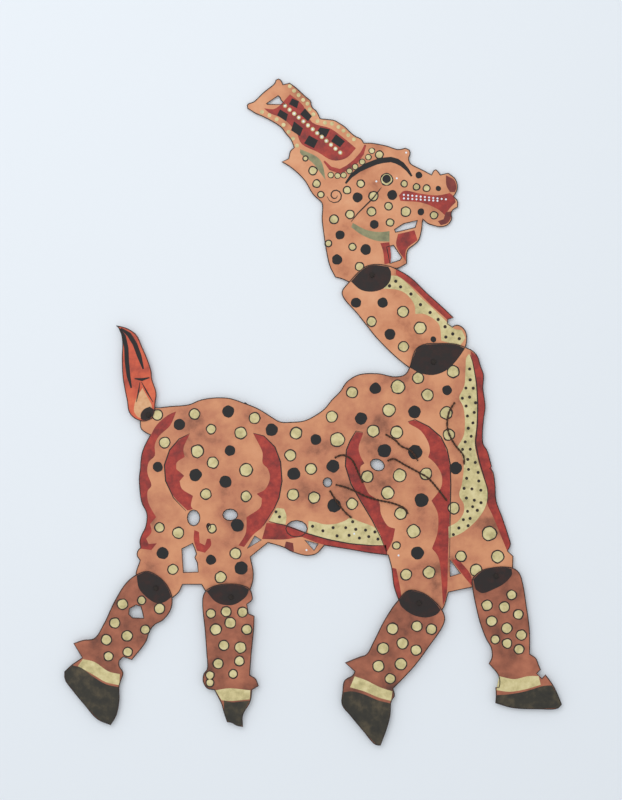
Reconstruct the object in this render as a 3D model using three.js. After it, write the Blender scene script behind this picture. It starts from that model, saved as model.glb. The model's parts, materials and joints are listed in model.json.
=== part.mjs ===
// Shadow puppet of a spotted deer, cut from thin translucent rawhide, lying flat with its limbs tied on.
//
// Millimetres. X runs to the puppet's right as it is seen from its face side, Y runs up the puppet, and
// Z rises from the table. The origin lies on the table under the middle of the puppet.
//
// Outlines, holes and ties were read by eye from the photograph of the puppet. They are given in its pixels,
// counted from its upper left corner, and PHOTO_PIXEL is the real size that one pixel covers.
import * as THREE from 'three';

// Driving dimensions
const PHOTO_PIXEL = 1.2;
const HIDE_THICKNESS = 0.8;
const SHEET_GAP = 0.35;
const THREAD_RADIUS = 0.9;
const TIE_HOLE_CLEARANCE = 0.3;
const KNOT_RADIUS = 3;
const KNOT_HEIGHT = 2.2;
const KNOT_CLEARANCE = 0.3;
const TWINE_RADIUS = 1.3;
const TWINE_CLEARANCE = 0.3;

// How finely curves are cut
const EDGE_STEP = 3.2;
const CORNER_TURN = THREE.MathUtils.degToRad(48);
const HOLE_SIDES = 12;
const KNOT_SIDES = 16;
const TWINE_SIDES = 8;
const TWINE_STEP = 3 * TWINE_RADIUS;

// Sheets lie in levels, from the table up
const LEVEL = { head: 0, neck: 1, body: 2, farLimb: 3, nearLimb: 4 };

// Places of the thread ties, in pixels of the photograph
const HEAD_TIE = [372, 275];
const NECK_TIE = [433.5, 362];
const TAIL_TIE = [148.5, 415];
const HIND_FAR_TIE = [156, 588];
const HIND_NEAR_TIE = [231, 597];
const FRONT_NEAR_TIE = [419, 603];
const FRONT_FAR_TIE = [496, 576];

const HEAD_OUTLINE = [
  [250.4, 110.2], [247.2, 108.3], [246.8, 104.6], [249.4, 102.4], [252.6, 101.9], [263.5, 91.8],
  [274.6, 82.6], [275.6, 79.5], [278.6, 78.2], [281.3, 79.9], [283.1, 84.1], [289.7, 82.4],
  [295.5, 86.6], [300.5, 91.1], [306.3, 96.5], [310.8, 100.3], [312.1, 106.5], [316.7, 110.6],
  [320.4, 118.1], [328.7, 118.9], [334.5, 119.8], [340.3, 123.1], [345.3, 126.4], [350.2, 131.4],
  [355.2, 135.5], [361.5, 138.6], [363.9, 142.5], [371.1, 142.5], [376.7, 143.3], [387.8, 145.7],
  [397.4, 148.9], [401.5, 148.6], [405.6, 147.6], [409.8, 149.6], [410.8, 153.6], [409.2, 157.4],
  [410.2, 162.5], [413.4, 164.9], [424.5, 170.4], [431.7, 174.4], [433.2, 170.6], [436, 169],
  [438.7, 171.4], [440.5, 174.4], [448.4, 172.5], [455.6, 178.4], [458, 186.4], [456.4, 192.8],
  [454, 196], [458, 200.7], [458, 207.1], [453.2, 210], [451.6, 213.5], [452.4, 218.3],
  [448.4, 224.7], [440.5, 227], [433.3, 225.5], [426.9, 223.1], [422.9, 219.1], [422.1, 229.4],
  [418.9, 240.6], [414.9, 244.6], [408.2, 250.2], [407, 263.7], [397.4, 268.5], [391.5, 268],
  [391, 280], [384, 289], [372, 292.5], [360, 290.5], [352, 284], [341.6, 278.9],
  [335.2, 277.3], [329.6, 266.1], [325.7, 248.6], [323.3, 232.6], [321.7, 218.3], [322.2, 208.7],
  [321.7, 203.1], [312.9, 194.4], [304.1, 180], [290.6, 167.3], [281.3, 161.7], [288.4, 158.2],
  [290.2, 150.5], [293.8, 147.2], [290.6, 139.4], [285.8, 133.8], [281, 127.4], [271.5, 121],
  [261.9, 116.2], [254.7, 113],
];
const HEAD_OPENINGS = [
  [[266.9, 103.2], [278.1, 95.7], [279.8, 97.4], [280.6, 99.9], [284.7, 104], [267.3, 103.6]],
  [[395, 229.4], [403.8, 223.9], [417.3, 220.4], [415, 227], [395.8, 231.8]],
  [[387, 247], [393.4, 245.4], [401.4, 257.3], [399.8, 259.7], [390.2, 262.9], [387.9, 250.2]],
];

const NECK_OUTLINE = [
  [350, 280.6], [358.5, 271.5], [367, 265.5], [375.5, 263.9], [388.8, 265.5], [397.3, 269.1],
  [407, 274.5], [414.2, 280], [426.4, 292.1], [438.5, 303], [447, 310.9], [454, 317.6],
  [448.2, 319.4], [447.6, 323.6], [452.4, 326.7], [456.1, 324.6], [461.5, 326.1], [465.8, 330.9],
  [467.2, 338.2], [465.8, 346.7], [456, 361], [446, 370.5], [433, 375], [420, 373],
  [409.4, 367.9], [394.8, 356.4], [375.5, 337], [365.8, 324.8], [356.1, 312.7], [345.2, 300.6],
  [341.8, 294.5], [342.1, 290.3],
];

const BODY_OUTLINE = [
  [156.1, 407.4], [170.2, 406.1], [188.9, 404.3], [199.6, 400], [213, 397.6], [229.1, 398],
  [243.8, 402.7], [258.6, 408.7], [270.6, 416.1], [280, 421.5], [290.7, 421.9], [304.1, 420.5],
  [314.8, 415.4], [324.2, 408.7], [331.8, 399.5], [340, 391.3], [346.4, 381.8], [358.5, 374.5],
  [377.9, 373.3], [394.8, 376.4], [404.5, 374.5], [408.8, 368.5], [415.5, 349.1], [423.9, 344],
  [440.9, 343], [455.5, 343.6], [465.8, 347.3], [472.4, 350.3], [477.9, 356.4], [480.9, 366.1],
  [483.9, 374.5], [483.3, 388.2], [485.6, 406.6], [483.8, 420.4], [483.3, 443.3], [487.3, 450.2],
  [491.9, 466.3], [490.2, 468.6], [493, 470.9], [495.3, 483.5], [496.5, 500.7], [502.2, 516.5],
  [508.6, 535.7], [510.9, 544.6], [507.9, 551], [513.4, 556.1], [513, 566.9], [512.4, 575.2],
  [505, 583.5], [495.8, 588], [483.1, 593.7], [475.4, 590.5], [472.2, 587.3], [448.6, 592.4],
  [443.5, 608.4], [437, 614.5], [425.7, 617.3], [412.9, 614.7], [401.4, 607.1], [397.6, 598.2],
  [393.8, 586.7], [391.2, 567.6], [388, 555.4], [368.3, 552.9], [354.7, 550.5], [324.4, 545.6],
  [316.8, 553.8], [308.1, 555.9], [300.5, 554.8], [289.7, 551], [284.2, 547.8], [268, 542.9],
  [250.6, 557], [253.7, 572.7], [253.2, 580.7], [250.5, 589.6], [246.5, 596.5], [235.4, 604],
  [224.6, 604.8], [215, 601], [205.9, 592], [201.4, 584.7], [182.7, 584.7], [179.1, 592.3],
  [172.4, 598], [164.8, 601.8], [156.8, 603.1], [147.6, 597.9], [138.5, 588.7], [135.5, 574.9],
  [139.8, 560.2], [136.7, 555.7], [137.6, 550.4], [140.3, 547.7], [139.4, 541.4], [141.6, 534.3],
  [145.2, 527.1], [146.5, 513.8], [141.6, 503], [139.4, 489.6], [138.9, 477.1], [139.8, 470],
  [141.4, 454.3], [144.7, 444.9], [150.1, 434.9], [146.7, 433.5], [140.7, 428.8], [140, 422],
  [140.5, 415], [144, 409], [150, 406.4],
];
const BODY_OPENINGS = [
  [
    [192.5, 543.7], [182.2, 549], [183.6, 572.2], [197.9, 571.8], [197, 562.9], [194.3, 557.5],
    [196.1, 553.9], [194.3, 548.6],
  ],
  [[449.9, 559.9], [460.1, 573.3], [450.3, 576.2]],
  [[254.9, 536.4], [260.9, 540], [247.4, 548.3]],
  [[304.8, 540.2], [317.9, 544], [314, 550]],
];
// Torn and punched holes of the body: middle, half width, half height, turn in degrees
const BODY_HOLES = [
  { at: [193.6, 517.9], size: [5.8, 7.5], turn: 0 },
  { at: [230.2, 514.8], size: [7, 5.3], turn: 0 },
  { at: [208.6, 526.3], size: [1.5, 2.5], turn: 0 },
  { at: [296.6, 528.7], size: [10.3, 7.8], turn: 0 },
  { at: [327.5, 482.4], size: [4, 4.3], turn: 0 },
  { at: [377.4, 464.9], size: [6.9, 5.2], turn: -25 },
];

const TAIL_OUTLINE = [
  [115.9, 325.4], [123.9, 327], [130.3, 329.8], [136.7, 334.9], [142.3, 346.9], [147.8, 359.7],
  [151.4, 370.8], [152.2, 378.8], [156.6, 393.1], [155.4, 403.5], [155, 410], [152.2, 418.6],
  [144.7, 421.4], [138.3, 420.3], [131.9, 416.3], [128.7, 411.5], [127.1, 401.1], [124.7, 389.2],
  [122.7, 377.2], [121.9, 358.9], [122.3, 341.3], [119.9, 330.2],
];

const HIND_FAR_OUTLINE = [
  [135.5, 574.9], [147.6, 570.9], [160.2, 577.2], [168.3, 586.4], [172.6, 599], [170.6, 610.5],
  [162.5, 620.8], [155.6, 624.3], [149.9, 631.2], [146.4, 641.5], [132.1, 659.9], [123.5, 657],
  [119.5, 661], [119.5, 665.6], [123.5, 672.5], [121.2, 680.6], [119.5, 686.3], [119.5, 700.1],
  [116.6, 715], [110.8, 725.1], [97.1, 719], [84.4, 704.7], [73, 690.9], [64.9, 679.4],
  [64.4, 671.4], [71.8, 664.5], [82.1, 657.6], [73.5, 643.2], [83.3, 639.8], [94.2, 638.1],
  [104, 623.1], [114.3, 601.3], [125.8, 583],
];
const HIND_FAR_OPENINGS = [
  [
    [129.8, 608.8], [136.1, 605.3], [140.7, 606.5], [142.4, 612.8], [143.6, 618], [132.7, 617.4],
    [129.2, 614],
  ],
];

const HIND_NEAR_OUTLINE = [
  [205.8, 590.4], [214.4, 585.3], [229.4, 583.3], [242, 584.7], [250, 588.7], [252.9, 597.9],
  [252.3, 600.2], [247.2, 604.2], [248.9, 613.4], [254.6, 615.7], [254.1, 628.9], [251.8, 651.8],
  [250, 674.8], [255.8, 678.3], [258.9, 685.7], [252.3, 689.7], [250.6, 701.2], [243.1, 715],
  [243.1, 726.7], [236.3, 725.3], [231.7, 722.5], [227.1, 721.9], [223.6, 711.5], [221.3, 703.5],
  [216.7, 694.3], [214.4, 689.7], [207.6, 688.6], [203, 681.7], [203.5, 673.7], [207, 668.5],
  [206.4, 651.8], [204.7, 628.9], [202.4, 605.9], [203, 595.6],
];

const FRONT_NEAR_OUTLINE = [
  [397.6, 600.3], [404.8, 591.8], [410.9, 589.4], [424.2, 593], [435.2, 601.5], [442.4, 610],
  [445.1, 618.5], [442.4, 627], [429.1, 646.4], [415.8, 664.5], [404.8, 676.7], [393.3, 688.2],
  [394.9, 695.5], [391.5, 700.9], [390.3, 715.5], [386.7, 728.8], [380.6, 745.2], [375.2, 744.5],
  [362.4, 730], [350.3, 715.5], [341.8, 704.5], [342.4, 691.2], [344.2, 680.3], [352.7, 674.8],
  [354.5, 671.2], [344.8, 662.4], [360, 656.3], [366.1, 654.2], [373.3, 641.5], [383, 622.1],
  [392.7, 606.4],
];

const FRONT_FAR_OUTLINE = [
  [472.1, 578.8], [481.2, 570.3], [492.1, 567.3], [504.2, 566.4], [513.9, 568.1], [519.4, 572.7],
  [523, 583.6], [526.7, 606.7], [529.7, 629.7], [529.9, 653.9], [535.8, 657.6], [538.8, 664.8],
  [540.8, 669.5], [537, 673.3], [541.8, 678.2], [545.5, 674.3], [552.7, 684.2], [558.2, 695.2],
  [561.8, 704.2], [557.6, 708.5], [537, 709.1], [512.7, 707.9], [495.2, 703], [495.8, 695.2],
  [495.2, 687.3], [498.8, 686.7], [499.4, 681.8], [497.6, 674.5], [488.5, 663.6], [491.5, 657.6],
  [490.9, 647.9], [486.1, 639.4], [480, 623.6], [475.2, 604.2], [472.1, 587.3],
];

// What is left of the twine lashing over the shoulder, in pixels of the photograph
const TWINE_ROUTES = {
  lashing_twine_1: [[329.5, 490], [337, 502], [345, 512], [352, 518]],
  lashing_twine_2: [[335, 484.5], [345, 487], [357, 492], [365, 496], [378, 500], [392, 503], [404, 508], [408, 514]],
  lashing_twine_3: [[334, 458], [343, 455], [352, 460], [358, 472], [363, 483]],
  lashing_twine_4: [[387, 461], [394, 459], [405, 465], [418, 472], [428, 478], [437, 488], [447, 501]],
  lashing_twine_5: [[385, 434], [395, 440], [401, 446], [411, 451], [418, 461]],
  lashing_twine_6: [[455, 402], [449, 412], [447, 424], [449, 434], [455, 445], [463, 455], [464, 465]],
};

const COLOURS = {
  head: 0xcf9066,
  neck: 0xd2916a,
  body: 0xcd8c64,
  tail: 0xb4543a,
  lowerLeg: 0xaa644b,
  thread: 0x1d1614,
  twine: 0x33231c,
};

function placeOf([column, row]) {
  return new THREE.Vector2(column * PHOTO_PIXEL, -row * PHOTO_PIXEL);
}

function levelBottom(level) {
  return KNOT_HEIGHT + KNOT_CLEARANCE + level * (HIDE_THICKNESS + SHEET_GAP);
}

// Corners where the cut turns sharply stay sharp, and the stretches between them run as smooth curves.
function smoothCut(points) {
  const count = points.length;
  const corners = [];
  for (let i = 0; i < count; i += 1) {
    const into = points[i].clone().sub(points[(i + count - 1) % count]);
    const outOf = points[(i + 1) % count].clone().sub(points[i]);
    const turn = Math.abs(Math.atan2(into.cross(outOf), into.dot(outOf)));
    if (turn > CORNER_TURN) {
      corners.push(i);
    }
  }
  const cut = [];
  corners.forEach((first, k) => {
    const last = k + 1 < corners.length ? corners[k + 1] : corners[0] + count;
    const run = [];
    for (let i = first; i <= last; i += 1) {
      const point = points[i % count];
      run.push(new THREE.Vector3(point.x, point.y, 0));
    }
    const curve = new THREE.CatmullRomCurve3(run, false, 'centripetal');
    const steps = run.length === 2 ? 1 : Math.max(run.length - 1, Math.round(curve.getLength() / EDGE_STEP));
    const spaced = curve.getSpacedPoints(steps);
    spaced.pop();
    spaced.forEach((point) => cut.push(new THREE.Vector2(point.x, point.y)));
  });
  return cut;
}

function ovalHole(middle, halfWidth, halfHeight, turnDegrees) {
  const turn = THREE.MathUtils.degToRad(turnDegrees);
  const curve = new THREE.EllipseCurve(middle.x, middle.y, halfWidth, halfHeight, 0, 2 * Math.PI, true, turn);
  const points = curve.getPoints(HOLE_SIDES);
  points.pop();
  return points;
}

// A flat sheet of hide, placed by the tie that holds it
function hideSheet({ name, outline, openings = [], holes = [], ties, level, colour }) {
  const anchor = placeOf(ties[0]);
  const local = (pixel) => placeOf(pixel).sub(anchor);
  const cut = smoothCut(outline.map(local));
  // The outline runs counterclockwise, and the geometry then turns each hole the other way round.
  if (THREE.ShapeUtils.isClockWise(cut)) {
    cut.reverse();
  }
  const shape = new THREE.Shape(cut);
  openings.forEach((opening) => shape.holes.push(new THREE.Path(opening.map(local))));
  holes.forEach(({ at, size, turn }) => {
    const halfSize = size.map((pixels) => pixels * PHOTO_PIXEL);
    shape.holes.push(new THREE.Path(ovalHole(local(at), halfSize[0], halfSize[1], turn)));
  });
  const tieHoleRadius = THREAD_RADIUS + TIE_HOLE_CLEARANCE;
  ties.forEach((tie) => {
    shape.holes.push(new THREE.Path(ovalHole(local(tie), tieHoleRadius, tieHoleRadius, 0)));
  });
  const geometry = new THREE.ExtrudeGeometry(shape, { depth: HIDE_THICKNESS, bevelEnabled: false });
  const material = new THREE.MeshStandardMaterial({ color: colour, roughness: 0.55, metalness: 0 });
  const sheet = new THREE.Mesh(geometry, material);
  sheet.name = name;
  sheet.position.set(anchor.x, anchor.y, levelBottom(level));
  return sheet;
}

// A thread through two sheets, with a knot behind the lower one and a knot on the upper one
function threadTie(name, tie, lowerLevel, upperLevel) {
  const backTop = levelBottom(lowerLevel) - KNOT_CLEARANCE;
  const frontBottom = levelBottom(upperLevel) + HIDE_THICKNESS + KNOT_CLEARANCE;
  const profile = [
    new THREE.Vector2(0, 0),
    new THREE.Vector2(0.72 * KNOT_RADIUS, 0),
    new THREE.Vector2(KNOT_RADIUS, 0.3 * backTop),
    new THREE.Vector2(0.92 * KNOT_RADIUS, 0.75 * backTop),
    new THREE.Vector2(0.6 * KNOT_RADIUS, backTop),
    new THREE.Vector2(THREAD_RADIUS, backTop),
    new THREE.Vector2(THREAD_RADIUS, frontBottom),
    new THREE.Vector2(0.6 * KNOT_RADIUS, frontBottom),
    new THREE.Vector2(KNOT_RADIUS, frontBottom + 0.35 * KNOT_HEIGHT),
    new THREE.Vector2(0.8 * KNOT_RADIUS, frontBottom + 0.8 * KNOT_HEIGHT),
    new THREE.Vector2(0.3 * KNOT_RADIUS, frontBottom + KNOT_HEIGHT),
    new THREE.Vector2(0, frontBottom + KNOT_HEIGHT),
  ];
  const geometry = new THREE.LatheGeometry(profile, KNOT_SIDES);
  geometry.rotateX(Math.PI / 2);
  const material = new THREE.MeshStandardMaterial({ color: COLOURS.thread, roughness: 0.9, metalness: 0 });
  const knot = new THREE.Mesh(geometry, material);
  knot.name = name;
  const place = placeOf(tie);
  knot.position.set(place.x, place.y, 0);
  return knot;
}

// A length of twine lying on the face of the body sheet
function lashingTwine(name, route) {
  const height = levelBottom(LEVEL.body) + HIDE_THICKNESS + TWINE_CLEARANCE + TWINE_RADIUS;
  const path = new THREE.CatmullRomCurve3(
    route.map((pixel) => {
      const place = placeOf(pixel);
      return new THREE.Vector3(place.x, place.y, height);
    }),
    false,
    'centripetal',
  );
  const section = new THREE.Shape();
  for (let side = 0; side < TWINE_SIDES; side += 1) {
    const angle = (2 * Math.PI * side) / TWINE_SIDES;
    const x = TWINE_RADIUS * Math.cos(angle);
    const y = TWINE_RADIUS * Math.sin(angle);
    if (side === 0) {
      section.moveTo(x, y);
    } else {
      section.lineTo(x, y);
    }
  }
  section.closePath();
  const geometry = new THREE.ExtrudeGeometry(section, {
    steps: Math.round(path.getLength() / TWINE_STEP),
    extrudePath: path,
  });
  const material = new THREE.MeshStandardMaterial({ color: COLOURS.twine, roughness: 0.95, metalness: 0 });
  const twine = new THREE.Mesh(geometry, material);
  twine.name = name;
  return twine;
}

const puppet = new THREE.Group();

puppet.add(hideSheet({
  name: 'head_hide',
  outline: HEAD_OUTLINE,
  openings: HEAD_OPENINGS,
  ties: [HEAD_TIE],
  level: LEVEL.head,
  colour: COLOURS.head,
}));
puppet.add(hideSheet({
  name: 'neck_hide',
  outline: NECK_OUTLINE,
  ties: [HEAD_TIE, NECK_TIE],
  level: LEVEL.neck,
  colour: COLOURS.neck,
}));
puppet.add(hideSheet({
  name: 'body_hide',
  outline: BODY_OUTLINE,
  openings: BODY_OPENINGS,
  holes: BODY_HOLES,
  ties: [NECK_TIE, TAIL_TIE, HIND_FAR_TIE, HIND_NEAR_TIE, FRONT_NEAR_TIE, FRONT_FAR_TIE],
  level: LEVEL.body,
  colour: COLOURS.body,
}));
puppet.add(hideSheet({
  name: 'tail_hide',
  outline: TAIL_OUTLINE,
  ties: [TAIL_TIE],
  level: LEVEL.farLimb,
  colour: COLOURS.tail,
}));
puppet.add(hideSheet({
  name: 'hind_far_lower_leg',
  outline: HIND_FAR_OUTLINE,
  openings: HIND_FAR_OPENINGS,
  ties: [HIND_FAR_TIE],
  level: LEVEL.farLimb,
  colour: COLOURS.lowerLeg,
}));
puppet.add(hideSheet({
  name: 'hind_near_lower_leg',
  outline: HIND_NEAR_OUTLINE,
  ties: [HIND_NEAR_TIE],
  level: LEVEL.nearLimb,
  colour: COLOURS.lowerLeg,
}));
puppet.add(hideSheet({
  name: 'front_near_lower_leg',
  outline: FRONT_NEAR_OUTLINE,
  ties: [FRONT_NEAR_TIE],
  level: LEVEL.nearLimb,
  colour: COLOURS.lowerLeg,
}));
puppet.add(hideSheet({
  name: 'front_far_lower_leg',
  outline: FRONT_FAR_OUTLINE,
  ties: [FRONT_FAR_TIE],
  level: LEVEL.farLimb,
  colour: COLOURS.lowerLeg,
}));

puppet.add(threadTie('head_tie', HEAD_TIE, LEVEL.head, LEVEL.neck));
puppet.add(threadTie('neck_tie', NECK_TIE, LEVEL.neck, LEVEL.body));
puppet.add(threadTie('tail_tie', TAIL_TIE, LEVEL.body, LEVEL.farLimb));
puppet.add(threadTie('hind_far_knee_tie', HIND_FAR_TIE, LEVEL.body, LEVEL.farLimb));
puppet.add(threadTie('hind_near_knee_tie', HIND_NEAR_TIE, LEVEL.body, LEVEL.nearLimb));
puppet.add(threadTie('front_near_knee_tie', FRONT_NEAR_TIE, LEVEL.body, LEVEL.nearLimb));
puppet.add(threadTie('front_far_knee_tie', FRONT_FAR_TIE, LEVEL.body, LEVEL.farLimb));

Object.entries(TWINE_ROUTES).forEach(([name, route]) => puppet.add(lashingTwine(name, route)));

// The puppet is moved so that the middle of the puppet stands over the origin.
const extent = new THREE.Box3().setFromObject(puppet);
const middle = extent.getCenter(new THREE.Vector3());
puppet.position.set(-middle.x, -middle.y, -extent.min.z);

export default puppet;
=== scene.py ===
import json
import math

import bmesh
import bpy
from mathutils import Matrix, Vector, noise


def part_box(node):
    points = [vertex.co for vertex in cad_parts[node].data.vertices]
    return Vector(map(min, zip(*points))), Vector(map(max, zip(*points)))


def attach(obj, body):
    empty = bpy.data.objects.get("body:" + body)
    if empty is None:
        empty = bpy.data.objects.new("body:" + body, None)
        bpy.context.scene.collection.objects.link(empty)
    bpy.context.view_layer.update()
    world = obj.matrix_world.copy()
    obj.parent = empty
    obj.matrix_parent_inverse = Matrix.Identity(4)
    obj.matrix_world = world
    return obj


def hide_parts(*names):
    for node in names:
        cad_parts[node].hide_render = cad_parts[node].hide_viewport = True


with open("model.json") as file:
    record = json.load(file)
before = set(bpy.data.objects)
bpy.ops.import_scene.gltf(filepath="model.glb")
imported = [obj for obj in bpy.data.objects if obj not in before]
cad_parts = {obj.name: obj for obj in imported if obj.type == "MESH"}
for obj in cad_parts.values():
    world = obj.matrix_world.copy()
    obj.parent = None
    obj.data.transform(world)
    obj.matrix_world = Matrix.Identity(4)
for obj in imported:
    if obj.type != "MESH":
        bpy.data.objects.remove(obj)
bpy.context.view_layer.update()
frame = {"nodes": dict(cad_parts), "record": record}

# Places are pixels of the photograph, read one by one: the metres that one covers, and the neck tie's pixel
PHOTO_PIXEL = 0.0012
NECK_TIE = (433.5, 362.0)
HINGES = {joint["name"]: joint for joint in frame["record"]["behaviour"]["joints"]}
BODY_OF_NODE = {
    node: body for body, nodes in frame["record"]["behaviour"]["bodies"].items() for node in nodes
}
NECK_PLACE = Vector(HINGES["neck_swing"]["pos_m"])

COAT = 0.00003 # thickness of one coat of dye or ink
BAND, RING, SPOT, DETAIL, SHADE = range(5)  # order of the coats, lowest first
INK_WIDTH = 0.0011


def place(pixel, height=0.0):
    x = NECK_PLACE.x + (pixel[0] - NECK_TIE[0]) * PHOTO_PIXEL
    y = NECK_PLACE.y - (pixel[1] - NECK_TIE[1]) * PHOTO_PIXEL
    return Vector((x, y, height))


# Materials


def shader(name):
    material = bpy.data.materials.new(name)
    material.use_nodes = True
    nodes = material.node_tree.nodes
    return material, nodes, material.node_tree.links, nodes["Principled BSDF"]


def mottled(name, colours, size, roughness=0.5, grain=0.00004, seed=0.0):
    """Dye soaked unevenly into hide: colours from darkest to palest, patches of a size in metres."""
    material, nodes, links, skin = shader(name)
    where = nodes.new("ShaderNodeTexCoord")
    shift = nodes.new("ShaderNodeMapping")
    shift.inputs["Location"].default_value = (seed, -seed, seed)
    links.new(where.outputs["Object"], shift.inputs["Vector"])
    patches = nodes.new("ShaderNodeTexNoise")
    patches.inputs["Scale"].default_value = 1 / size
    patches.inputs["Detail"].default_value = 8
    patches.inputs["Roughness"].default_value = 0.62
    links.new(shift.outputs["Vector"], patches.inputs["Vector"])
    ramp = nodes.new("ShaderNodeValToRGB")
    first, last = 0.3, 0.7
    stops = ramp.color_ramp.elements
    stops[0].position = first
    stops[0].color = (*colours[0], 1)
    stops[1].position = last
    stops[1].color = (*colours[-1], 1)
    for i, colour in enumerate(colours[1:-1], 1):
        stop = stops.new(first + (last - first) * i / (len(colours) - 1))
        stop.color = (*colour, 1)
    links.new(patches.outputs["Fac"], ramp.inputs["Fac"])
    links.new(ramp.outputs["Color"], skin.inputs["Base Color"])
    pores = nodes.new("ShaderNodeTexNoise")
    pores.inputs["Scale"].default_value = 1400
    pores.inputs["Detail"].default_value = 4
    links.new(shift.outputs["Vector"], pores.inputs["Vector"])
    bump = nodes.new("ShaderNodeBump")
    bump.inputs["Distance"].default_value = grain
    bump.inputs["Strength"].default_value = 0.6
    links.new(pores.outputs["Fac"], bump.inputs["Height"])
    links.new(bump.outputs["Normal"], skin.inputs["Normal"])
    gloss = nodes.new("ShaderNodeMapRange")
    gloss.inputs["To Min"].default_value = roughness - 0.1
    gloss.inputs["To Max"].default_value = roughness + 0.12
    links.new(patches.outputs["Fac"], gloss.inputs["Value"])
    links.new(gloss.outputs["Result"], skin.inputs["Roughness"])
    return material


def linear(red, green, blue):
    """A colour given as it shows on a screen, from 0 to 255, as the shader counts it."""
    return tuple(((c / 255 + 0.055) / 1.055) ** 2.4 for c in (red, green, blue))


HIDE = mottled(
    "peach rawhide",
    [linear(158, 92, 62), linear(196, 128, 90), linear(210, 146, 106), linear(218, 160, 120)],
    0.045,
)
TRUNK_HIDE = mottled(
    "stained rawhide",
    [linear(112, 62, 42), linear(184, 116, 84), linear(206, 141, 101), linear(214, 152, 112)],
    0.06,
    seed=0.3,
)
LEG_HIDE = mottled(
    "brown rawhide",
    [linear(84, 44, 32), linear(136, 76, 54), linear(164, 96, 70), linear(184, 114, 84)],
    0.035,
    seed=0.7,
)
TAIL_HIDE = mottled(
    "orange red rawhide",
    [linear(150, 52, 34), linear(196, 80, 50), linear(214, 104, 66)],
    0.02,
    seed=1.1,
)
RED = mottled("madder red dye", [linear(104, 24, 20), linear(150, 40, 32), linear(178, 60, 44)], 0.012, seed=1.5)
CREAM = mottled("bare cream hide", [linear(166, 156, 108), linear(200, 188, 136), linear(218, 208, 160)], 0.01)
BLACK = mottled("lamp black ink", [linear(1, 2, 4), linear(4, 6, 10), linear(12, 12, 14)], 0.008, 0.62)
INK = mottled("brown black ink", [linear(16, 8, 5), linear(30, 15, 9), linear(52, 28, 18)], 0.01, 0.62)
OLIVE = mottled("olive grey dye", [linear(104, 106, 78), linear(130, 130, 95), linear(150, 146, 108)], 0.01)
# Painted shade, not a dye: the dark where two sheets overlap and less light comes through.
SHADOWED = mottled("painted shade of doubled hide", [linear(10, 3, 2), linear(24, 8, 6), linear(48, 18, 12)], 0.012, 0.62)
HOOF = mottled("dark hoof dye", [linear(18, 17, 12), linear(40, 37, 25), linear(78, 68, 48)], 0.014, seed=2.1)
ORANGE = mottled("orange dye", [linear(188, 84, 52), linear(220, 112, 70), linear(228, 136, 90)], 0.02, seed=2.4)
# Painted light: the pinholes are not cut, and pale dots stand for the light showing through them.
LIGHT = mottled("light through a pinhole", [linear(214, 222, 232), linear(232, 238, 245)], 0.05)
MAROON = mottled("maroon dye", [linear(84, 24, 22), linear(112, 36, 30), linear(132, 52, 42)], 0.01, seed=2.8)
BEIGE = mottled("beige dye", [linear(186, 130, 92), linear(208, 156, 112), linear(220, 176, 134)], 0.01, seed=3.1)


def fibre(name, dark, pale, twist):
    """Spun fibre, streaked along its strands."""
    material, nodes, links, yarn = shader(name)
    where = nodes.new("ShaderNodeTexCoord")
    strands = nodes.new("ShaderNodeTexNoise")
    strands.inputs["Scale"].default_value = twist
    strands.inputs["Detail"].default_value = 6
    links.new(where.outputs["Object"], strands.inputs["Vector"])
    ramp = nodes.new("ShaderNodeValToRGB")
    ramp.color_ramp.elements[0].color = (*dark, 1)
    ramp.color_ramp.elements[0].position = 0.35
    ramp.color_ramp.elements[1].color = (*pale, 1)
    ramp.color_ramp.elements[1].position = 0.7
    links.new(strands.outputs["Fac"], ramp.inputs["Fac"])
    links.new(ramp.outputs["Color"], yarn.inputs["Base Color"])
    bump = nodes.new("ShaderNodeBump")
    bump.inputs["Distance"].default_value = 0.0002
    links.new(strands.outputs["Fac"], bump.inputs["Height"])
    links.new(bump.outputs["Normal"], yarn.inputs["Normal"])
    yarn.inputs["Roughness"].default_value = 0.9
    return material


THREAD = fibre("black tying thread", linear(10, 9, 10), linear(58, 48, 42), 2200)
TWINE = fibre("old brown twine", linear(30, 16, 12), linear(92, 62, 44), 1600)


# Coats of paint


def smooth(points, steps=4, sharp=math.radians(50)):
    """A line through closed points: rounded between corners, and sharp where it turns sharply."""
    count = len(points)
    at = [Vector(p) for p in points]
    corner = []
    for i in range(count):
        before = at[i] - at[i - 1]
        after = at[(i + 1) % count] - at[i]
        corner.append(before.length < 1e-9 or after.length < 1e-9 or before.angle(after) > sharp)
    line = []
    for i in range(count):
        a, b = at[i], at[(i + 1) % count]
        before = b - a if corner[i] else (b - at[i - 1]) / 2
        after = b - a if corner[(i + 1) % count] else (at[(i + 2) % count] - a) / 2
        for k in range(steps):
            t = k / steps
            line.append(
                (2 * t**3 - 3 * t**2 + 1) * a
                + (t**3 - 2 * t**2 + t) * before
                + (3 * t**2 - 2 * t**3) * b
                + (t**3 - t**2) * after
            )
    return line


def stroke(points, width, taper=0.35):
    """The outline of a brush stroke along an open line, thinner towards its ends."""
    at = [Vector(p) for p in points]
    left, right = [], []
    for i, p in enumerate(at):
        along = (at[min(i + 1, len(at) - 1)] - at[max(i - 1, 0)]).normalized()
        across = Vector((-along.y, along.x))
        middle = 1 - abs(2 * i / (len(at) - 1) - 1)
        half = width / 2 * (taper + (1 - taper) * min(1, 2 * middle))
        left.append(p + across * half)
        right.append(p - across * half)
    return left + right[::-1]


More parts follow.
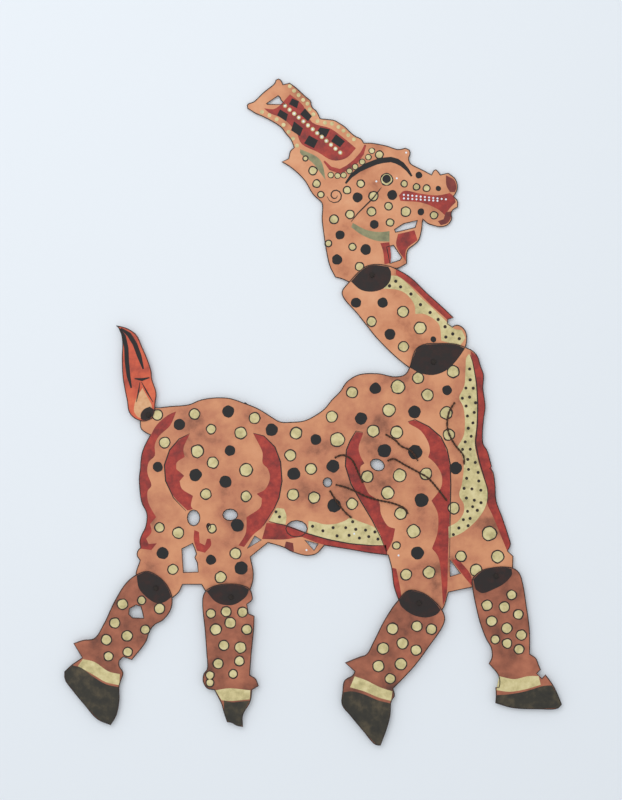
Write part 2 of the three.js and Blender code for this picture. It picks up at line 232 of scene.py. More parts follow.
def finish_piece(name, bm, material, node):
    """The dye soaks through, so each coat shows on both faces of its sheet."""
    low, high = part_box(node)
    halfway = Matrix.Translation((0, 0, -(low[2] + high[2]) / 2))
    back = bmesh.ops.duplicate(bm, geom=bm.verts[:] + bm.edges[:] + bm.faces[:])
    back_verts = [v for v in back["geom"] if isinstance(v, bmesh.types.BMVert)]
    bmesh.ops.scale(bm, vec=(1, 1, -1), verts=back_verts, space=halfway)
    bmesh.ops.recalc_face_normals(bm, faces=bm.faces)
    mesh = bpy.data.meshes.new(name)
    bm.to_mesh(mesh)
    bm.free()
    piece = bpy.data.objects.new(name, mesh)
    bpy.context.scene.collection.objects.link(piece)
    mesh.materials.append(material)
    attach(piece, BODY_OF_NODE[node])
    return piece


def thicken(bm):
    raised = bmesh.ops.extrude_face_region(bm, geom=bm.faces[:], use_keep_orig=True)
    moved = [v for v in raised["geom"] if isinstance(v, bmesh.types.BMVert)]
    bmesh.ops.translate(bm, verts=moved, vec=(0, 0, COAT * 0.9))


def coat_height(node, coat):
    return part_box(node)[1][2] + COAT * (coat + 0.3)


def paint_dots(name, node, coat, material, dots, grow=0.0, sides=20):
    bm = bmesh.new()
    height = coat_height(node, coat)
    for x, y, radius in dots:
        size = (radius + grow) * PHOTO_PIXEL
        middle = place((x, y), height)
        made = bmesh.ops.create_circle(
            bm, cap_ends=True, segments=sides, radius=size, matrix=Matrix.Translation(middle)
        )
        for vert in made["verts"]:
            wobble = 0.12 * noise.noise(vert.co * 260 + Vector((radius, 0, 0)))
            vert.co += (vert.co - middle) * wobble
    thicken(bm)
    return finish_piece(name, bm, material, node)


def paint_shapes(name, node, coat, material, shapes, rounded=True):
    bm = bmesh.new()
    height = coat_height(node, coat)
    for shape in shapes:
        line = smooth(shape) if rounded else shape
        face = bm.faces.new([bm.verts.new(place(p, height)) for p in line])
        face.normal_update()
        bmesh.ops.triangulate(bm, faces=[face], ngon_method="EAR_CLIP")
    thicken(bm)
    return finish_piece(name, bm, material, node)


def paint_strokes(name, node, coat, material, strokes):
    shapes = [stroke(points, width) for points, width in strokes]
    return paint_shapes(name, node, coat, material, shapes, rounded=False)


def ink_edge(node):
    """A line of ink along every cut edge of a sheet."""
    bm = bmesh.new()
    bm.from_mesh(frame["nodes"][node].data)
    bmesh.ops.remove_doubles(bm, verts=bm.verts, dist=1e-6)
    bmesh.ops.recalc_face_normals(bm, faces=bm.faces)
    lower = [face for face in bm.faces if face.normal.z < 0.9]
    bmesh.ops.delete(bm, geom=lower, context="FACES")
    rim = bmesh.ops.inset_region(
        bm, faces=bm.faces[:], use_boundary=True, use_even_offset=False, thickness=INK_WIDTH
    )
    inside = [face for face in bm.faces if face not in set(rim["faces"])]
    bmesh.ops.delete(bm, geom=inside, context="FACES")
    bmesh.ops.translate(bm, verts=bm.verts, vec=(0, 0, COAT * (SHADE + 0.3)))
    thicken(bm)
    return finish_piece("ink_edge_" + node, bm, INK, node)


def spotted(node, cream=(), black=(), holes=()):
    """Ringed cream spots, black spots, and pale dots painted as the light through the pinholes of one sheet."""
    if cream:
        paint_dots(node + "_spot_rings", node, RING, INK, cream, grow=0.9)
        paint_dots(node + "_cream_spots", node, SPOT, CREAM, cream, grow=-0.4)
    if black:
        paint_dots(node + "_black_spots", node, SPOT, BLACK, black)
    if holes:
        paint_dots(node + "_pinhole_light", node, DETAIL, LIGHT, [(x, y, 1.0) for x, y in holes], sides=10)


# Sheets of hide

SHEETS = {
    "head_hide": HIDE,
    "neck_hide": HIDE,
    "body_hide": TRUNK_HIDE,
    "tail_hide": TAIL_HIDE,
    "hind_far_lower_leg": LEG_HIDE,
    "hind_near_lower_leg": LEG_HIDE,
    "front_near_lower_leg": LEG_HIDE,
    "front_far_lower_leg": LEG_HIDE,
}


def dress_node(node, material):
    thing = frame["nodes"][node]
    thing.data.materials.clear()
    thing.data.materials.append(material)


for sheet, finish in SHEETS.items():
    dress_node(sheet, finish)
    ink_edge(sheet)
for node in frame["nodes"]:
    if node.endswith("_tie"):
        dress_node(node, THREAD)
    if node.startswith("lashing_twine"):
        dress_node(node, TWINE)


# Body

BODY_CREAM = [
    (157.2, 415, 5), (194.6, 414.1, 5), (211.3, 429.1, 4.5), (254.5, 418.1, 5.2), (240.8, 432.9, 5.8),
    (164.6, 442.5, 5.2), (197.4, 451.3, 6), (212.8, 462.7, 5.3), (246.1, 470, 6.2), (205.9, 494.1, 5),
    (246.1, 496.5, 5), (296.1, 433.1, 5.5), (290.4, 455.2, 5.3), (311.1, 469, 5.3), (293, 494.7, 5.5),
    (314.1, 497.5, 5.3), (331.8, 416.6, 5.3), (337.3, 439.6, 6.8), (159.5, 527.5, 4.6), (178.2, 533, 5.3),
    (212.1, 528.6, 4), (235.5, 553.4, 5.2), (220.8, 577.2, 5.4), (172.9, 569.5, 4.8), (352, 392.2, 5.2),
    (398, 386.8, 6.4), (418.2, 377.9, 5.3), (453.2, 371.6, 5.7), (427.4, 395.1, 5.6), (388.9, 410, 6),
    (373.1, 431, 5.8), (396.6, 432.2, 5.8), (446.2, 412.9, 6), (448.8, 434.7, 5.4), (367.3, 476.6, 5.5),
    (399.7, 475.5, 6.1), (425.9, 473.8, 5.6), (387.8, 492.9, 6), (352, 503.8, 5.3), (400.7, 513.6, 5.5),
    (453.8, 508.2, 5.5), (413.5, 531.2, 6.4), (396.6, 545.6, 3.5), (406.1, 574.6, 5.2), (429.2, 572.3, 5.8),
    (489.4, 533.5, 6.8), (461, 556.3, 5), (497.7, 556.7, 6), (476, 570.1, 5.6),
]
BODY_BLACK = [
    (228.2, 411.4, 6), (179.3, 424.6, 5.8), (271.6, 429.8, 6.4), (229.8, 450.5, 5.4), (315.9, 439.6, 5.4),
    (157.7, 467, 5.1), (195.4, 474.8, 6.4), (225.4, 481.7, 6.2), (293.7, 473.7, 6.4), (333, 466, 6.5),
    (334.2, 505.8, 6.8), (237.5, 525.3, 6.4), (162.5, 553.1, 6), (211, 559.8, 5.1), (241.2, 568.1, 6.7),
    (375.4, 388.4, 5.8), (447.1, 390.2, 5), (360.8, 418.6, 6.2), (414.6, 411.8, 6.4), (384.3, 450.8, 6.9),
    (415, 451.9, 7.2), (455.7, 468, 6.2), (421.5, 500.2, 7), (417.4, 552.9, 6.5),
]
BODY_RED = [
    # rump
    [
        (176.2, 411.4), (167.5, 415.4), (156.8, 424.8), (150.6, 435.5), (145.2, 445), (141.8, 454.3),
        (140.2, 470), (139.4, 477.1), (139.9, 489.6), (142, 503), (146.9, 513.8), (145.7, 527.1),
        (142.1, 534.3), (139.9, 541.4), (140.7, 548.7), (151.4, 550), (156.8, 543.3), (148.7, 544),
        (146.1, 538.7), (151.4, 532), (150.1, 523.9), (156.1, 517.2), (148.7, 503.8), (147.4, 491.8),
        (151.4, 485.1), (147.4, 473), (148.7, 462.3), (154.8, 455.6), (154.8, 444.9), (159.5, 435.5),
        (170.2, 425.5),
    ],
    # thigh, tail side
    [
        (189.6, 434.2), (179.6, 439.6), (170.2, 450.3), (165.1, 465), (166.2, 481.1), (174.2, 497.1),
        (187.6, 510.5), (192.9, 509), (190.9, 505.2), (192.9, 495.8), (182.2, 489.1), (179.6, 481.1),
        (184.2, 475.7), (176.2, 469), (176.9, 462.3), (184.6, 457), (183.6, 447.6),
    ],
    # thigh, belly side
    [
        (253.2, 433.5), (263.9, 436.2), (274.6, 447.6), (280, 462.3), (281.3, 481.1), (278.7, 497.1),
        (274.6, 507.9), (263.9, 525.3), (253, 535), (244, 547), (238.5, 545.4), (245.2, 534.6),
        (246.5, 525.3), (246.5, 517.2), (259.9, 507.9), (261.9, 498.5), (256.6, 493.8), (265.3, 489.1),
        (269.9, 478.4), (267.9, 469), (262.6, 463), (262.6, 452.9), (258.6, 443.6),
    ],
    # shoulder, belly side
    [
        (363.3, 433), (356.4, 431.8), (350.7, 441), (347.2, 450.2), (346.1, 466.3), (351.8, 483.5),
        (360.8, 500), (372.1, 519.1), (381, 536.9), (386.8, 552.2), (392.5, 540.8), (395.1, 528.6),
        (387.4, 525.5), (381, 514), (378.9, 501.5), (369, 493.8), (364.4, 484.7), (361, 477.8),
        (360.4, 467.4), (364.4, 463.4), (360.4, 456), (358.7, 446.8),
    ],
    # shoulder, chest side, down the near foreleg
    [
        (408.1, 422.1), (415, 420.4), (428.7, 427.3), (440.2, 437.6), (446, 449.1), (449.4, 464),
        (450, 483.5), (449.5, 515), (449.2, 529.3), (448, 554.8), (447, 591.8), (443, 606), (441, 573.9),
        (438.4, 557.3), (432, 548.4), (437.1, 534.4), (438.4, 521.6), (437.1, 511.4), (431.5, 500.7),
        (437.9, 492.7), (441.9, 484.7), (441.4, 474.3), (435.6, 464), (428.2, 457.1), (429.9, 450.2),
        (427.6, 441), (420.7, 430.7), (410.4, 424.4),
    ],
    # chest
    [
        (470.5, 351), (477.4, 357), (480.4, 366.5), (483.3, 375), (482.8, 388.2), (485, 406.6),
        (483.2, 420.4), (482.8, 443.3), (486.7, 450.5), (491, 466.3), (494.7, 483.5), (495.9, 500.7),
        (501.6, 516.5), (508, 535.7), (510.2, 544.6), (507.2, 551), (500.9, 535.7), (492.6, 515.3),
        (487, 503), (487, 489.5), (482.7, 475.5), (478.1, 460.5), (474.7, 443.3), (476.4, 426.1),
        (477, 404.3), (475.8, 383.6), (472.4, 363),
    ],
    # belly
    [
        (266.5, 523), (284.2, 524.5), (308.1, 533.1), (327.6, 538.6), (349.3, 542.9), (371, 544.9),
        (386, 545.1), (387.4, 554.6), (368.3, 552.2), (354.7, 549.8), (324.4, 544.9), (306, 538.5),
        (300, 537), (284, 539.5), (262, 539),
    ],
    # forelegs and knee
    [(391.8, 567.6), (396.3, 568.8), (400.8, 591.8), (402, 606), (398.2, 598.2), (394.4, 586.7)],
    [(452, 560), (457.6, 558.6), (470.3, 573.9), (472, 586), (462, 574)],
    [
        (194.3, 530), (193.8, 540), (197, 550.7), (205, 552.7), (211, 545.4), (210.4, 538.7), (207, 538.7),
        (205, 545.4), (199.6, 542.7), (199, 532),
    ],
]
CHEST_STRIP = [
    (469.1, 353.8), (472.4, 363), (475.8, 383.6), (477, 404.3), (476.4, 426.1), (474.7, 443.3), (478.1, 460.5),
    (482.7, 475.5), (487, 489.5), (486.9, 501.2), (483.1, 511.4), (474.1, 522.9), (461.4, 533.1), (448.8, 538.2),
    (448.6, 526.7), (457.6, 521.6), (463.5, 513), (463.8, 504.2), (459.2, 495), (462, 483.5), (463.8, 466.3),
    (462, 456), (457.4, 446.8), (463.8, 435.3), (464.9, 420.4), (463.2, 406.6), (459.2, 397.4), (464.3, 385.9),
    (465.5, 369.9), (466.1, 358.4),
]
BELLY_STRIP = [
    (276.6, 507.7), (284, 508.8), (288, 514), (288, 523), (300, 539.5), (308.1, 533.1), (327.6, 538.6),
    (349.3, 542.9), (371, 544.9), (384, 545.1), (376.4, 528.8), (360.2, 521.8), (350.4, 518), (345, 520.7),
    (335.2, 523.9), (324.4, 524.3), (314.6, 521.8), (307.6, 517.5), (308, 529), (300, 538), (290, 536.5),
    (284.2, 524.5), (269, 520.7),
]
BELLY_CREAM = [
    (308.5, 521), (314.6, 521.8), (324.4, 524.3), (335.2, 523.9), (345, 520.7), (350.4, 518), (360.2, 521.8),
    (376.4, 528.8), (384, 545.1), (371, 544.9), (349.3, 542.9), (327.6, 538.6), (308.1, 533.1),
]
THIGH_CREAM = [(276.6, 507.7), (284, 508.8), (286.5, 516), (285.5, 524.4), (277, 523), (269, 520.7)]
CHEST_DOTS = [
    (469.7, 369), (470.1, 379.8), (465.9, 388), (473.2, 388.2), (469.6, 397.2), (462.3, 398.2), (475.6, 402.8),
    (466.1, 406), (474.2, 412.4), (467.4, 415.9), (472.9, 422.9), (468.3, 428.2), (471.2, 436.2), (465.2, 441.8),
    (462.5, 449.4), (470.2, 449.2), (467.9, 459.4), (475.2, 462.5), (468.6, 469.4), (478.1, 472.4), (466.6, 478.3),
    (478.7, 481), (464.1, 488.4), (471.9, 489), (480.8, 490.2), (466.4, 498.1), (474.3, 500.3), (481, 502.7),
    (472.6, 506.7), (467.5, 511.3), (477.3, 510.3), (463.3, 519.7), (470.1, 518.4), (468.1, 525.7), (458.8, 528),
    (453.4, 534.5),
]
BELLY_DOTS = [
    (275.9, 511.8), (279.6, 516.9), (312.6, 526.3), (322.9, 530.8), (333.1, 527.7), (337, 535.9), (345.7, 527.7),
    (349, 535.3), (355.8, 529.3), (359.4, 538), (365.6, 530.1), (368.8, 536.7), (375, 532), (378, 539.1),
    (352.6, 521.8),
]

paint_shapes("red_bands_of_body", "body_hide", BAND, RED, BODY_RED)
paint_shapes("chest_strip", "body_hide", RING, CREAM, [CHEST_STRIP])
paint_shapes("belly_strip", "body_hide", RING, CREAM, [BELLY_CREAM, THIGH_CREAM])
paint_dots("chest_dots", "body_hide", SPOT, INK, [(x, y, 1.6) for x, y in CHEST_DOTS + BELLY_DOTS], sides=12)
paint_shapes(
    "belly_sheath",
    "body_hide",
    RING,
    MAROON,
    [[(286, 541.5), (293, 543), (294, 551.5), (289.7, 550.2), (284.4, 547)]],
)
paint_strokes(
    "body_ink_lines",
    "body_hide",
    DETAIL,
    INK,
    [
        ([(253, 433), (264, 436), (275, 447), (280.6, 462), (282, 481), (279, 498), (274, 509), (263, 526)], 1.2),
        ([(189.6, 433.6), (179, 439), (169.6, 450), (164.4, 465), (165.6, 481), (173.6, 498), (186, 511)], 1.2),
        ([(363, 432.4), (356, 431), (350, 441), (346.4, 450), (345.4, 466), (351, 484), (360, 500), (372, 520),
          (381, 538), (387, 554)], 1.2),
        ([(408, 421.6), (415, 419.6), (429, 426.6), (441, 437), (447, 449), (450.2, 464), (450.8, 484),
          (450.2, 515), (450, 530), (449.6, 558)], 1.2),
        ([(470.4, 355), (473, 363), (476.6, 383.6), (477.8, 404.3), (477.2, 426), (475.5, 443), (479, 460),
          (483.4, 475), (487.8, 489), (487.6, 502)], 1.2),
        ([(269, 521.6), (284.2, 525), (308.1, 533.8), (327.6, 539.4), (349.3, 543.6), (371, 545.6),
          (385, 545.8)], 1.2),
    ],
)
spotted("body_hide", BODY_CREAM, BODY_BLACK, [(398.5, 555.4), (354.2, 533.7), (306.5, 550)])


# Head

HEAD_CREAM = [
    (379.4, 154.5, 3.7), (360.7, 183.5, 3.5), (347.2, 189.9, 3.5), (373.5, 196, 4.4), (404.3, 183.5, 3),
    (416.5, 186.7, 3), (426.6, 188, 3.2), (388.6, 206, 3.6), (371.6, 211.4, 4.2), (405.9, 211.4, 4.5),
    (434.1, 215.1, 3.5), (349.9, 214.3, 4), (334, 219.1, 4.2), (390.2, 222.3, 3.5), (328.5, 243.3, 3),
    (352.5, 246.7, 3.4), (359.5, 266.4, 4), (312.9, 170.4, 3.9), (316.6, 183.5, 3.6), (320.9, 194.4, 2.9),
    (305.4, 158.2, 2.3),
]
HEAD_BLACK = [
    (418.9, 174.9, 3.4), (357.6, 197.1, 5), (392.3, 194.8, 5), (421, 211.6, 3.5), (374.3, 224.2, 4.5),
    (340, 234.7, 4.7), (365.8, 249.4, 5.4), (337.1, 259.4, 5.2), (438.4, 188.3, 2.7),
]
COLLAR_BEADS = [
    (330.8, 174.9), (337.6, 175.5), (343.7, 174.9), (349.6, 170.8), (355.2, 166.5), (362.3, 161.7),
    (368.4, 156.9), (371.9, 150.5),
]
MOUTH = [
    (399, 195.2), (405.4, 190.4), (421.3, 193.6), (437.3, 195.2), (450, 192.8), (454, 196.4), (456, 202),
    (450, 208), (445.2, 215.1), (437.3, 208.7), (421.3, 202.3), (400.6, 200.7),
]
LIPS = [(446, 175), (454, 179.5), (456.6, 186.6), (455, 192), (450, 191.6), (446.5, 185)]
LOWER_LIP = [(445.8, 212), (452, 211), (451, 217.6), (447.4, 223), (441, 225), (438, 221), (443.7, 219)]
TEETH = [(404 + 4.2 * i, 194.6 + 0.45 * i) for i in range(11)] + [
    (404 + 4.2 * i, 198.2 + 0.3 * i) for i in range(9)
]
ANTLER_BEADS = [
    (289.7, 86), (294, 90.5), (298.6, 94.8), (303, 99.6), (307.4, 103.4), (309.6, 109), (313.4, 114),
    (317.5, 121), (325, 122.4), (332, 123.4), (338.4, 126.6), (343.6, 130.4), (348.4, 135), (354, 139),
    (262, 111.6), (269.4, 115), (276.6, 119), (283.4, 124.6), (288.6, 131.6), (293, 138.2), (297, 145.4),
]
ANTLER_ROW = [(285 + 4.6 * i, 105.5 + 3.9 * i) for i in range(13)]
ANTLER_FLAMES = [
    [((292, 98), (299, 101), (297, 108), (289, 104))],
    [((305, 108), (312, 116), (308, 121), (300, 114))],
    [((320, 127), (330, 129), (326, 137), (316, 133))],
    [((336, 134), (345, 141), (340, 147), (331, 141))],
    [((280, 109), (288, 114), (286, 121), (277, 115))],
    [((294, 121), (303, 128), (300, 136), (291, 130))],
    [((309, 135), (318, 140), (314, 148), (304, 143))],
]
HEAD_RED = [
    [(264, 108), (276, 108), (290, 94), (303, 105), (312, 122), (330, 128), (344, 138), (356, 148),
     (346, 158), (332, 160), (318, 152), (302, 144), (296, 132), (284, 119), (270, 113)],
    [(389.4, 242), (391, 253), (390.6, 263), (384.5, 264), (383.3, 252), (380.4, 243)],
    [(398, 234), (414.5, 230), (417.6, 240), (406.6, 249), (405.8, 261), (396.5, 246)],
]
RED_COLLAR = [
    (324.1, 160.9), (330.4, 168.1), (340, 171.2), (348, 167.3), (356, 160.9), (362.3, 152.9), (365.5, 144.6),
]
OLIVE_BAND = [
    (352.8, 222.7), (365.5, 229.4), (378.3, 231.8), (389.6, 231), (389.6, 241.4), (376.7, 240.6),
    (362.3, 235), (351.2, 227),
]
EAR_BAND = [(300.2, 148.8), (316.1, 156.1), (322.5, 164.1), (325.7, 180), (320, 172), (312, 162), (301, 154)]
EYEBROW = [
    (345.6, 183.2), (351, 176), (359, 169.6), (368, 165), (376, 161.8), (383.1, 160.1), (391, 159.3),
    (397, 161), (402.2, 164.1), (407.6, 169.6), (411.8, 176),
]
CHEEK = [(381.5, 187.2), (377, 193), (373.5, 197.6), (365.5, 205.5), (358, 213), (351.2, 221.5)]
EAR_SPIRAL = [
    (335.2 + (2 + 0.42 * i) * math.cos(0.62 * i), 195.2 + (2 + 0.42 * i) * math.sin(0.62 * i)) for i in range(16)
]

paint_shapes("red_of_head", "head_hide", BAND, RED, HEAD_RED)
paint_strokes("red_collar", "head_hide", BAND, RED, [(RED_COLLAR, 5)])
paint_shapes("mouth", "head_hide", BAND, RED, [MOUTH])
paint_shapes("lips", "head_hide", RING, MAROON, [LIPS, LOWER_LIP])
paint_shapes("olive_bands", "head_hide", BAND, OLIVE, [OLIVE_BAND, EAR_BAND])
paint_shapes("antler_flames", "head_hide", RING, BLACK, [list(flame[0]) for flame in ANTLER_FLAMES])
paint_dots("antler_beads", "head_hide", SPOT, CREAM, [(x, y, 2.0) for x, y in ANTLER_BEADS], sides=14)
paint_dots("antler_row_rings", "head_hide", SPOT, CREAM, [(x, y, 2.1) for x, y in ANTLER_ROW], sides=14)
# Pale dots painted as light through the antler's pinholes.
paint_dots("antler_pinhole_light", "head_hide", DETAIL, LIGHT, [(x, y, 1.0) for x, y in ANTLER_ROW], sides=10)
paint_dots("collar_bead_rings", "head_hide", SPOT, INK, [(x, y, 3.3) for x, y in COLLAR_BEADS], sides=16)
paint_dots("collar_beads", "head_hide", DETAIL, CREAM, [(x, y, 2.4) for x, y in COLLAR_BEADS], sides=16)
paint_strokes("eyebrow", "head_hide", DETAIL, BLACK, [(EYEBROW, 5.4)])
paint_strokes("ear_spiral", "head_hide", DETAIL, INK, [(EAR_SPIRAL, 1.3)])
paint_strokes("cheek_line", "head_hide", DETAIL, INK, [(CHEEK, 1.4)])
paint_dots("eye_rim", "head_hide", RING, BLACK, [(386.7, 179.2, 6.6)])
paint_dots("eye_white", "head_hide", SPOT, CREAM, [(386.7, 179.2, 5.4)])
paint_dots("pupil", "head_hide", DETAIL, BLACK, [(386.7, 178.6, 4.2)])
spotted("head_hide", HEAD_CREAM, HEAD_BLACK, TEETH + [(376.4, 181.1), (396.9, 178.1), (406.2, 152.4)])


# Neck

NECK_RED = [
    [
        (396, 269.2), (406.8, 275.2), (413.8, 280.8), (426, 293), (438, 303.8), (446.6, 311.8), (452, 317.4),
        (447.6, 319.8), (440, 313), (430, 304), (418, 292), (407, 282), (396, 274.5),
    ],
]
NECK_STRIP = [
    (384, 276), (397.3, 276), (408, 284), (420, 296.5), (432, 307.5), (446, 321), (454, 328.6), (462, 330),
    (465.6, 338), (460, 346), (441.5, 340.6), (439.7, 326.1), (433.6, 318.8), (423.9, 313.9), (415.5, 313.9),
    (414.2, 304.2), (407, 294.5), (397.3, 289.7), (384, 288.5),
]
NECK_DOTS = [
    (395.8, 281.2), (389.6, 285.8), (400.7, 286.9), (411, 293.9), (420.5, 304.6), (430.2, 312.4), (438.2, 319.4),
    (445.2, 326.7), (452.8, 333.9), (446, 337), (459.3, 338.6), (388.4, 279.4),
]
paint_shapes("red_band_of_neck", "neck_hide", BAND, RED, NECK_RED)
paint_shapes("cream_strip_of_neck", "neck_hide", RING, CREAM, [NECK_STRIP])
paint_dots("neck_dots", "neck_hide", SPOT, INK, [(x, y, 1.7) for x, y in NECK_DOTS], sides=12)
spotted(
    "neck_hide",
    [(371.6, 321.5, 4.6), (403.1, 311.8, 5.2), (420.3, 327.9, 5.7), (403.6, 346.7, 4.8)],
    [(356.1, 302.7, 5.2), (382.7, 302.8, 5.2), (390, 334.3, 5.6), (433.4, 339.3, 3)],
)


# Tail

paint_shapes(
    "tail_patch",
    "tail_hide",
    BAND,
    BEIGE,
    [[(142.6, 388), (147, 396), (151.6, 405), (151, 414), (145, 418.6), (138, 417), (134, 410), (136.6, 398)]],
)
paint_strokes(
    "tail_flames",
    "tail_hide",
    RING,
    BLACK,
    [
        ([(119.6, 328.6), (124, 336), (126.4, 348), (127, 362), (128.6, 376), (131.4, 388)], 4.4),
        ([(121, 328.4), (129, 334.4), (135, 344), (139.4, 356), (143.4, 369)], 4.6),
        ([(134.6, 378.6), (142, 379.6), (149.6, 377.6)], 3),
        ([(140, 382), (138.6, 392), (136.4, 402)], 1.6),
        ([(141.6, 382), (147, 392), (153, 402)], 1.6),
    ],
)


# Lower legs

LEG_SPOTS = {
    "hind_far_lower_leg": [
        (122.6, 604, 5), (114.9, 622.9, 5), (106.6, 639.6, 5), (108.6, 656.2, 4.4), (127.2, 635.8, 5),
        (145.3, 629.5, 4.4), (127.8, 651.8, 4.4), (159.6, 608.5, 5), (141.8, 600.3, 4),
    ],
    "hind_near_lower_leg": [
        (211, 613.2, 4.4), (226.2, 611.4, 4.8), (242.6, 611.9, 4.8), (230.3, 622.6, 5.2), (215.8, 629.2, 5.3),
        (246.9, 629.2, 4.8), (223.9, 645, 4.8), (240.5, 647.3, 5.4), (239.4, 660.7, 4.6), (218.2, 663.3, 4.8),
        (233.2, 673.7, 4.1), (210, 675, 4), (210, 682.4, 3.6),
    ],
    "front_near_lower_leg": [
        (392.4, 628.5, 5.4), (416.7, 626, 5), (431.2, 629, 5), (402.4, 643.1, 5.4), (416, 649.8, 5),
        (383, 648.2, 5.5), (378.4, 665.8, 5.4), (400.8, 663.7, 5.6), (390.1, 678.4, 4.8),
    ],
    "front_far_lower_leg": [
        (511.5, 594.7, 4.6), (486.9, 605.2, 5), (504.2, 606.9, 5), (518.2, 614.3, 4.6), (491.5, 621, 5),
        (506.7, 628.2, 5), (521.2, 634.9, 5), (495.1, 639.4, 4.2), (506.9, 643.3, 4.6), (519, 649.1, 4.6),
    ],
}
HOOVES = {
    "hind_far_lower_leg": [
        (72.6, 665.2), (82, 668), (94, 677), (106, 684), (118.7, 687), (118.8, 700), (116, 714.5),
        (110.4, 724), (97.5, 718), (85, 704), (73.6, 690.4), (65.8, 679.2), (65.2, 671.8),
    ],
    "hind_near_lower_leg": [
        (224, 700), (232, 702), (242, 701), (249.8, 700.4), (242.6, 714.6), (242.4, 725.6), (236.5, 724.5),
        (232, 721.8), (227.7, 721), (224.4, 711),
    ],
    "front_near_lower_leg": [
        (343.4, 692), (352, 691), (364, 694), (378, 700), (390.6, 703), (389.6, 715.5), (386, 728.4),
        (380.2, 744.2), (375.5, 743.6), (362.8, 729.4), (351, 715), (342.6, 704),
    ],
    "front_far_lower_leg": [
        (496.4, 695), (510, 694), (526, 691), (542, 686), (552, 685.2), (557.4, 695.4), (561, 704),
        (557.4, 707.7), (537, 708.3), (512.8, 707.1), (496, 702.4),
    ],
}
PASTERNS = {
    "hind_far_lower_leg": [(83, 659), (95, 662), (108, 671), (120, 674), (119.4, 685), (106, 682), (94, 675), (78, 666)],
    "hind_near_lower_leg": [(215.6, 690), (230, 688), (250.4, 690), (249.8, 699), (232, 700.6), (221.6, 700)],
    "front_near_lower_leg": [(354.6, 676), (366, 680), (380, 687), (392.4, 691), (391, 700.6), (378, 697), (364, 691),
                             (350, 687)],
    "front_far_lower_leg": [(499, 676), (514, 679), (528, 676), (538.5, 676), (540.6, 684.6), (526, 689), (510, 691.6),
                            (496.4, 690)],
}
for leg, spots in LEG_SPOTS.items():
    spotted(leg, spots)
    paint_shapes(leg + "_pastern", leg, BAND, CREAM, [PASTERNS[leg]])
    paint_shapes(leg + "_hoof", leg, RING, HOOF, [HOOVES[leg]])


# Painted shade: where two sheets lie on each other, less light comes through and the upper one looks dark, so a dark
# patch is painted on it.

OVERLAPS = {
    "neck_hide": [
        [(351, 281.4), (359, 272.6), (367.2, 266.6), (375.5, 265), (388.4, 266.6), (391, 272), (390, 281),
         (383, 288.6), (372, 291.6), (360.6, 289.6)],
    ],
    "body_hide": [
        [(410, 367.6), (416.2, 350), (424.2, 345), (440.9, 344), (455.3, 344.6), (465, 348.4), (456, 361),
         (446, 370.5), (433, 375), (420, 373)],
    ],
    "tail_hide": [[(154, 409.6), (151.4, 417.4), (144.7, 420.2), (141, 419.2), (140.8, 414), (144.4, 409), (150, 406.6)]],
    "hind_near_lower_leg": [
        [(206.8, 591.2), (214.6, 586.3), (229.4, 584.3), (241.8, 585.7), (249, 589.4), (246, 596.5),
         (235.4, 604), (224.6, 604.8), (215, 601)],
    ],
    "hind_far_lower_leg": [
        [(136.8, 575.4), (147.4, 571.9), (159.7, 578), (167.4, 587), (171.4, 597), (164.8, 601.8),
         (156.8, 603.1), (147.6, 597.9), (138.9, 588)],
    ],
    "front_near_lower_leg": [
        [(398.8, 600.4), (405.2, 592.8), (410.9, 590.4), (423.8, 593.9), (434.4, 602.2), (440.6, 609.6),
         (436, 614.5), (425.7, 617.3), (412.9, 614.7), (402, 607)],
    ],
    "front_far_lower_leg": [
        [(473.2, 579.2), (481.8, 571.2), (492.3, 568.3), (504.2, 567.4), (511.6, 568.8), (511.4, 575.2),
         (504.6, 583), (495.8, 588), (483.1, 593), (475.6, 589.5)],
    ],
}
for sheet, lenses in OVERLAPS.items():
    paint_shapes("painted_shade_on_" + sheet, sheet, SHADE, SHADOWED, lenses)


# The remnants of the twine lashing, two plies laid round each other

TWINE_LINES = {
    "lashing_twine_1": [(329.5, 490), (337, 502), (345, 512), (352, 518)],
    "lashing_twine_2": [
        (335, 484.5), (345, 487), (357, 492), (365, 496), (378, 500), (392, 503), (404, 508), (408, 514),
    ],
    "lashing_twine_3": [(334, 458), (343, 455), (352, 460), (358, 472), (363, 483)],
    "lashing_twine_4": [(387, 461), (394, 459), (405, 465), (418, 472), (428, 478), (437, 488), (447, 501)],
    "lashing_twine_5": [(385, 434), (395, 440), (401, 446), (411, 451), (418, 461)],
    "lashing_twine_6": [(455, 402), (449, 412), (447, 424), (449, 434), (455, 445), (463, 455), (464, 465)],
}
PLY_RADIUS = 0.00064
TWINE_TURN = 0.0075


def along(points, step):
    """Evenly spaced places on the smooth line through points, with the direction at each."""
    ends = [points[0], *points, points[-1]]
    fine = []
    for i in range(1, len(ends) - 2):
        a, b = Vector(ends[i]), Vector(ends[i + 1])
        before, after = (b - Vector(ends[i - 1])) / 2, (Vector(ends[i + 2]) - a) / 2
        for k in range(24):
            t = k / 24
            fine.append(
                (2 * t**3 - 3 * t**2 + 1) * a
                + (t**3 - 2 * t**2 + t) * before
                + (3 * t**2 - 2 * t**3) * b
                + (t**3 - t**2) * after
            )
    line = []
    run = 0.0
    for a, b in zip(fine, fine[1:]):
        run += (b - a).length
        if run >= step:
            line.append((b, (b - a).normalized()))
            run = 0.0
    return line


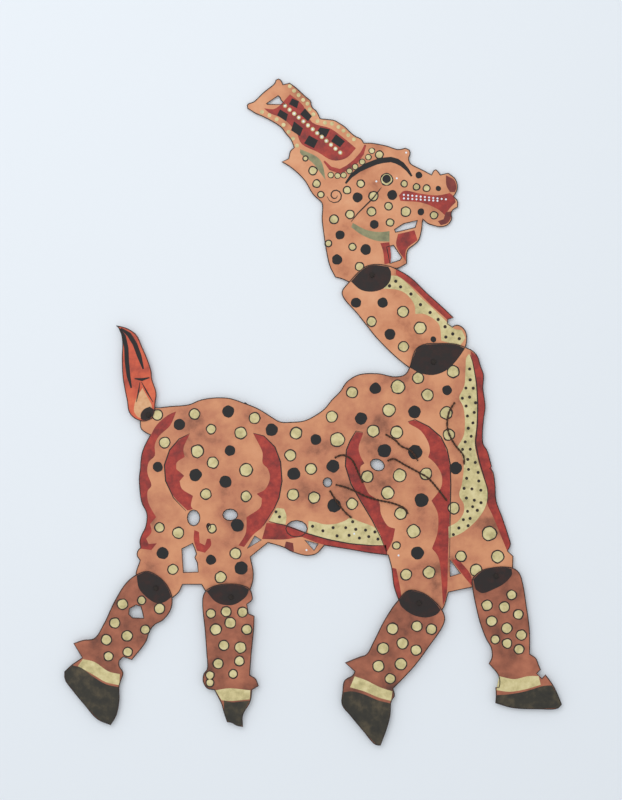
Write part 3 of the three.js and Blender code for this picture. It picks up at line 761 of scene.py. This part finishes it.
def lay_twine(name):
    low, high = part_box(name)
    middle = (low[2] + high[2]) / 2
    curve = bpy.data.curves.new(name + "_yarn", "CURVE")
    curve.dimensions = "3D"
    curve.bevel_depth = PLY_RADIUS
    curve.bevel_resolution = 3
    curve.use_fill_caps = True
    step = 0.0006
    line = along([place(p).to_2d() for p in TWINE_LINES[name]], step)
    for ply in range(2):
        spline = curve.splines.new("POLY")
        spline.points.add(len(line) - 1)
        for i, (at, forward) in enumerate(line):
            turn = 2 * math.pi * (i * step / TWINE_TURN + ply / 2)
            side = Vector((-forward.y, forward.x))
            reach = PLY_RADIUS * (1 + 0.06 * math.sin(i * 0.9 + ply))
            spot = at + side * reach * math.cos(turn)
            spline.points[i].co = (spot.x, spot.y, middle + reach * math.sin(turn), 1)
    yarn = bpy.data.objects.new(name + "_yarn", curve)
    bpy.context.scene.collection.objects.link(yarn)
    curve.materials.append(TWINE)
    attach(yarn, "body")
    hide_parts(name)


for twine_name in TWINE_LINES:
    lay_twine(twine_name)


# Table, light and camera

TABLE_SIZE = 6.0
bm = bmesh.new()
bmesh.ops.create_grid(bm, x_segments=1, y_segments=1, size=TABLE_SIZE / 2)
table_mesh = bpy.data.meshes.new("pale table")
bm.to_mesh(table_mesh)
bm.free()
table = bpy.data.objects.new("pale_table", table_mesh)
bpy.context.scene.collection.objects.link(table)
table_paint, _, _, table_skin = shader("pale table")
table_skin.inputs["Base Color"].default_value = (*linear(226, 233, 240), 1)
table_skin.inputs["Roughness"].default_value = 0.9
table_mesh.materials.append(table_paint)

world = bpy.data.worlds.new("soft studio")
world.use_nodes = True
world.node_tree.nodes["Background"].inputs["Color"].default_value = (1, 1, 1, 1)
world.node_tree.nodes["Background"].inputs["Strength"].default_value = 0.8
bpy.context.scene.world = world

lamp = bpy.data.lights.new("large soft lamp", "AREA")
lamp.size = 1.6
lamp.energy = 16
lamp_place = bpy.data.objects.new("large_soft_lamp", lamp)
lamp_place.location = (-0.7, 0.9, 2.0)
lamp_place.rotation_euler = (Vector((0, 0, 0)) - lamp_place.location).to_track_quat("-Z", "Y").to_euler()
bpy.context.scene.collection.objects.link(lamp_place)

FRAME_MIDDLE = (311, 400)
FRAME_ROWS = 800
LENS = 85
SENSOR = 36
camera = bpy.data.cameras.new("camera")
camera.lens = LENS
camera.sensor_width = SENSOR
camera_place = bpy.data.objects.new("camera", camera)
face_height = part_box("body_hide")[1][2]
camera_place.location = place(FRAME_MIDDLE, face_height + FRAME_ROWS * PHOTO_PIXEL * LENS / SENSOR)
bpy.context.scene.collection.objects.link(camera_place)
bpy.context.scene.camera = camera_place
bpy.context.scene.view_settings.view_transform = "Standard"
